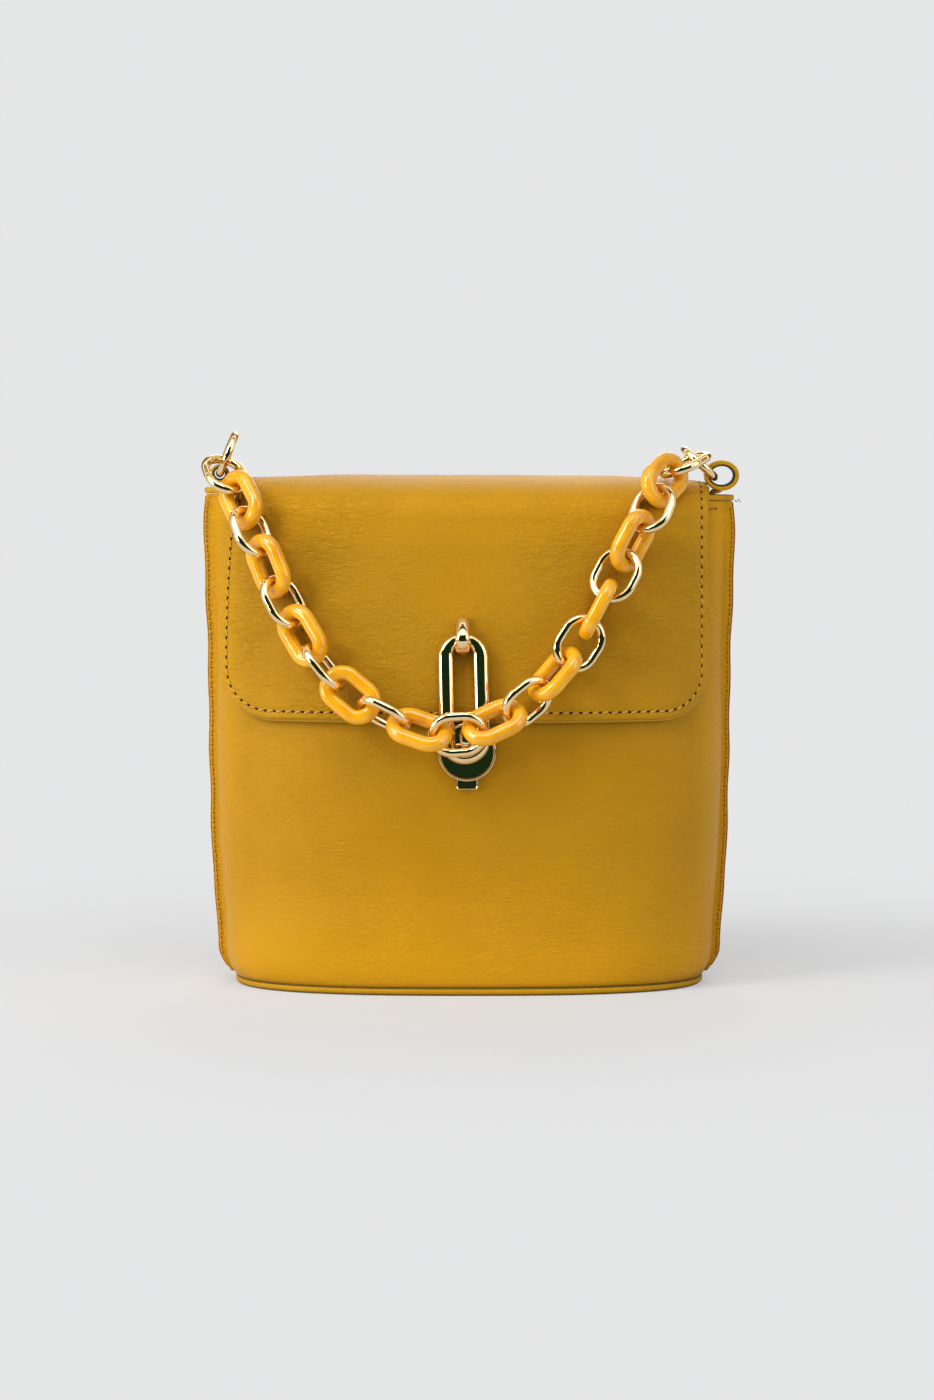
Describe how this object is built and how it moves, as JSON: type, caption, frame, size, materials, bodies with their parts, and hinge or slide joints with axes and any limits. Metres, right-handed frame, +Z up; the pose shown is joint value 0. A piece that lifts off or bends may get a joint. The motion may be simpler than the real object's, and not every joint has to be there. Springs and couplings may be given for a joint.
{
  "type": "flap handbag",
  "caption": "Small structured leather shoulder bag with a front flap, side rings, a link chain handle and a hasp and turn-knob clasp.",
  "frame": {"origin": "centre of the flat resting face under the base", "axes": "+Z up, +X to the right seen from the front, front of the bag faces -Y"},
  "size_m": [0.2134, 0.1196, 0.2215],
  "materials": {
    "leather": "grained, satin",
    "leather_edge": "painted edge, satin",
    "lining_cloth": "fine twill, matte",
    "gold": "polished pale gold plate",
    "resin": "glossy, slightly translucent amber",
    "board": "matte fibre board"
  },
  "bodies": {
    "root": {"front_panel": "leather", "back_panel": "leather", "lining": "lining_cloth", "mouth_binding": "leather", "base_panel": "leather", "base_welt": "leather_edge", "base_board": "board", "flap_rear_strip": "leather", "strap_tab_left": "leather", "strap_tab_right": "leather", "lock_plate": "gold", "lock_backplate": "gold"},
    "flap": {"flap_outer": "leather", "flap_lining": "leather", "hasp_staple": "gold", "staple_washer": "gold"},
    "hasp": {"hasp_loop": "gold"},
    "knob": {"turn_knob": "gold", "knob_retainer": "gold"},
    "ring_left": {"tab_ring_left": "gold"},
    "ring_right": {"tab_ring_right": "gold"},
    "chain": {"link_gold_00": "gold", "link_gold_10": "gold"},
    "link_resin_01": {"link_resin_01": "resin"},
    "link_gold_01": {"link_gold_01": "gold"},
    "link_resin_02": {"link_resin_02": "resin"},
    "link_gold_02": {"link_gold_02": "gold"},
    "link_resin_03": {"link_resin_03": "resin"},
    "link_gold_03": {"link_gold_03": "gold"},
    "link_resin_04": {"link_resin_04": "resin"},
    "link_gold_04": {"link_gold_04": "gold"},
    "link_resin_05": {"link_resin_05": "resin"},
    "link_gold_05": {"link_gold_05": "gold"},
    "link_resin_06": {"link_resin_06": "resin"},
    "link_gold_06": {"link_gold_06": "gold"},
    "link_resin_07": {"link_resin_07": "resin"},
    "link_gold_07": {"link_gold_07": "gold"},
    "link_resin_08": {"link_resin_08": "resin"},
    "link_gold_08": {"link_gold_08": "gold"},
    "link_resin_09": {"link_resin_09": "resin"},
    "link_gold_09": {"link_gold_09": "gold"},
    "link_resin_10": {"link_resin_10": "resin"}
  },
  "joints": [
    {"name": "flap_open", "type": "hinge", "parent": "root", "child": "flap", "pos_m": [0, -0.00468, 0.20991], "axis": [-1, 0, 0], "range_deg": [0, 140]},
    {"name": "chain_swing", "type": "hinge", "parent": "flap", "child": "chain", "pos_m": [0, -0.00468, 0.20991], "axis": [1, 0, 0], "range_deg": [-150, 0]},
    {"name": "hasp_swing", "type": "hinge", "parent": "flap", "child": "hasp", "pos_m": [-0.0026, -0.0466, 0.1396], "axis": [-1, 0, 0], "range_deg": [0, 63]},
    {"name": "knob_turn", "type": "hinge", "parent": "root", "child": "knob", "pos_m": [-0.0009, -0.05, 0.1028], "axis": [0, 1, 0], "range_deg": [0, 90]},
    {"name": "ring_left_spin", "type": "hinge", "parent": "root", "child": "ring_left", "pos_m": [-0.09703, -0.00427, 0.21255], "axis": [0.9254, 0.0678, -0.3728], "range_deg": [-90, 90]},
    {"name": "ring_right_spin", "type": "hinge", "parent": "root", "child": "ring_right", "pos_m": [0.09246, -0.00277, 0.20887], "axis": [0.6679, 0.0001, 0.7443], "range_deg": [-90, 90]},
    {"name": "link_resin_01_roll", "type": "hinge", "parent": "chain", "child": "link_resin_01", "pos_m": [-0.09047, -0.02628, 0.19485], "axis": [0.3881, -0.5707, -0.7237], "range_deg": [-6, 6]},
    {"name": "link_gold_01_roll", "type": "hinge", "parent": "chain", "child": "link_gold_01", "pos_m": [-0.08566, -0.03439, 0.18258], "axis": [0.3113, -0.4732, -0.8241], "range_deg": [-6, 6]},
    {"name": "link_resin_02_roll", "type": "hinge", "parent": "chain", "child": "link_resin_02", "pos_m": [-0.07901, -0.03834, 0.16929], "axis": [0.3722, -0.1644, -0.9135], "range_deg": [-6, 6]},
    {"name": "link_gold_02_roll", "type": "hinge", "parent": "chain", "child": "link_gold_02", "pos_m": [-0.07277, -0.04175, 0.15553], "axis": [0.4559, -0.2216, -0.862], "range_deg": [-6, 6]},
    {"name": "link_resin_03_roll", "type": "hinge", "parent": "chain", "child": "link_resin_03", "pos_m": [-0.06552, -0.04563, 0.14237], "axis": [0.4981, -0.2998, -0.8136], "range_deg": [-6, 6]},
    {"name": "link_gold_03_roll", "type": "hinge", "parent": "chain", "child": "link_gold_03", "pos_m": [-0.0569, -0.05066, 0.13055], "axis": [0.6175, -0.2285, -0.7526], "range_deg": [-6, 6]},
    {"name": "link_resin_04_roll", "type": "hinge", "parent": "chain", "child": "link_resin_04", "pos_m": [-0.04642, -0.05381, 0.11969], "axis": [0.7504, -0.2331, -0.6185], "range_deg": [-6, 6]},
    {"name": "link_gold_04_roll", "type": "hinge", "parent": "chain", "child": "link_gold_04", "pos_m": [-0.03336, -0.05697, 0.11209], "axis": [0.8804, -0.2142, -0.423], "range_deg": [-6, 6]},
    {"name": "link_resin_05_roll", "type": "hinge", "parent": "chain", "child": "link_resin_05", "pos_m": [-0.01949, -0.06117, 0.10669], "axis": [0.922, -0.2574, -0.2893], "range_deg": [-6, 6]},
    {"name": "link_gold_05_roll", "type": "hinge", "parent": "chain", "child": "link_gold_05", "pos_m": [-0.00438, -0.06178, 0.10487], "axis": [0.9983, 0.0152, 0.0563], "range_deg": [-6, 6]},
    {"name": "link_resin_06_roll", "type": "hinge", "parent": "chain", "child": "link_resin_06", "pos_m": [0.00984, -0.06106, 0.10964], "axis": [0.8895, 0.2292, 0.3953], "range_deg": [-6, 6]},
    {"name": "link_gold_06_roll", "type": "hinge", "parent": "chain", "child": "link_gold_06", "pos_m": [0.02267, -0.05671, 0.1171], "axis": [0.7667, 0.2288, 0.5999], "range_deg": [-6, 6]},
    {"name": "link_resin_07_roll", "type": "hinge", "parent": "chain", "child": "link_resin_07", "pos_m": [0.03344, -0.05361, 0.12777], "axis": [0.6389, 0.2369, 0.7319], "range_deg": [-6, 6]},
    {"name": "link_gold_07_roll", "type": "hinge", "parent": "chain", "child": "link_gold_07", "pos_m": [0.04298, -0.05027, 0.13952], "axis": [0.5407, 0.1745, 0.8229], "range_deg": [-6, 6]},
    {"name": "link_resin_08_roll", "type": "hinge", "parent": "chain", "child": "link_resin_08", "pos_m": [0.05043, -0.04748, 0.15281], "axis": [0.4614, 0.2226, 0.8588], "range_deg": [-6, 6]},
    {"name": "link_gold_08_roll", "type": "hinge", "parent": "chain", "child": "link_gold_08", "pos_m": [0.0574, -0.04337, 0.166], "axis": [0.4493, 0.2747, 0.8501], "range_deg": [-6, 6]},
    {"name": "link_resin_09_roll", "type": "hinge", "parent": "chain", "child": "link_resin_09", "pos_m": [0.0643, -0.03961, 0.17931], "axis": [0.4657, 0.2096, 0.8598], "range_deg": [-6, 6]},
    {"name": "link_gold_09_roll", "type": "hinge", "parent": "chain", "child": "link_gold_09", "pos_m": [0.07181, -0.03471, 0.19178], "axis": [0.3234, 0.5104, 0.7968], "range_deg": [-6, 6]},
    {"name": "link_resin_10_roll", "type": "hinge", "parent": "chain", "child": "link_resin_10", "pos_m": [0.07733, -0.02579, 0.20278], "axis": [0.5217, 0.6893, 0.5027], "range_deg": [-6, 6]}
  ],
  "couplings": [
    {"joint": "hasp_swing", "follows": "chain_swing", "ratio": -0.42}
  ]
}
